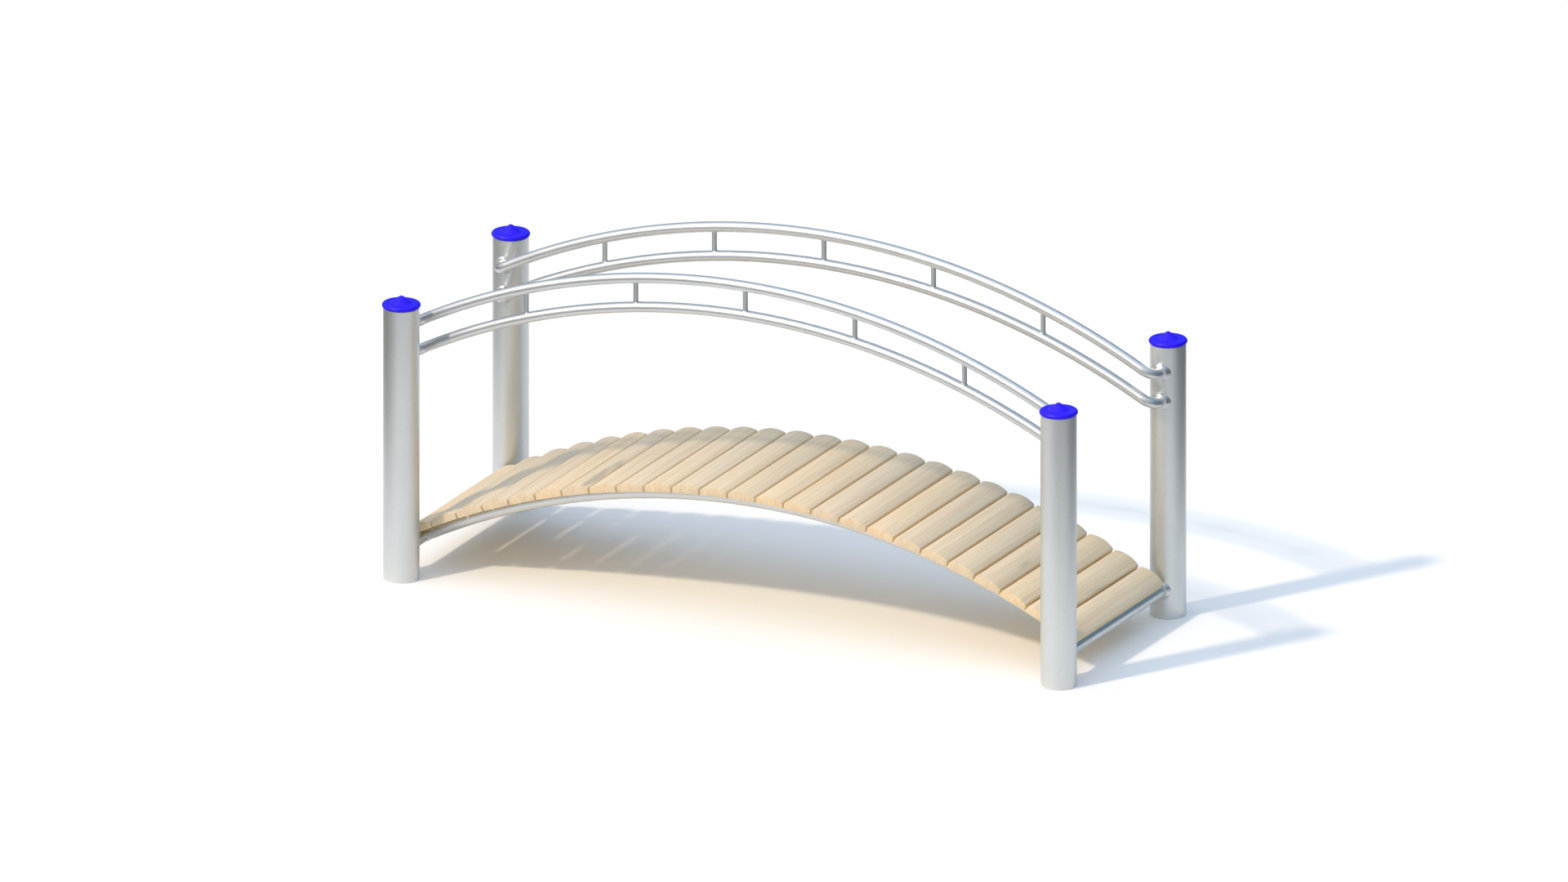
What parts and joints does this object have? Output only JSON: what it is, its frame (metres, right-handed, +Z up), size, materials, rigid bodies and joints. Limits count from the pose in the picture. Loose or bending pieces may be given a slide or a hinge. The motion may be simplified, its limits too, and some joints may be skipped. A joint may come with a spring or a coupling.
{
  "type": "moon bridge",
  "caption": "Arched footbridge of crowned timber planks on tube stringers, between capped round posts, with twin arched tube hand rails and upright bars on both sides.",
  "frame": {"origin": "on the ground, at the middle of the four posts", "axes": "+X along the span, +Y across the bridge towards the back rails, +Z up"},
  "size_m": [2.422, 0.888, 1.1258],
  "materials": {
    "post_metal": "satin",
    "rail_metal": "polished",
    "cap_plastic": "gloss",
    "deck_timber": "oiled"
  },
  "bodies": {
    "root": {"post_front_left": "post_metal", "cap_front_left": "cap_plastic", "post_front_right": "post_metal", "cap_front_right": "cap_plastic", "front_upper_rail": "rail_metal", "front_lower_rail": "rail_metal", "front_balusters": "rail_metal", "front_stringer": "rail_metal", "post_back_left": "post_metal", "cap_back_left": "cap_plastic", "post_back_right": "post_metal", "cap_back_right": "cap_plastic", "back_upper_rail": "rail_metal", "back_lower_rail": "rail_metal", "back_balusters": "rail_metal", "back_stringer": "rail_metal", "left_cross_tube": "rail_metal", "right_cross_tube": "rail_metal", "rail_collars": "rail_metal", "deck_collars": "rail_metal", "plank_01": "deck_timber", "plank_02": "deck_timber", "plank_03": "deck_timber", "plank_04": "deck_timber", "plank_05": "deck_timber", "plank_06": "deck_timber", "plank_07": "deck_timber", "plank_08": "deck_timber", "plank_09": "deck_timber", "plank_10": "deck_timber", "plank_11": "deck_timber", "plank_12": "deck_timber", "plank_13": "deck_timber", "plank_14": "deck_timber", "plank_15": "deck_timber", "plank_16": "deck_timber", "plank_17": "deck_timber", "plank_18": "deck_timber", "plank_19": "deck_timber", "plank_20": "deck_timber", "plank_21": "deck_timber", "plank_22": "deck_timber", "plank_23": "deck_timber", "plank_24": "deck_timber", "plank_25": "deck_timber"}
  },
  "joints": []
}
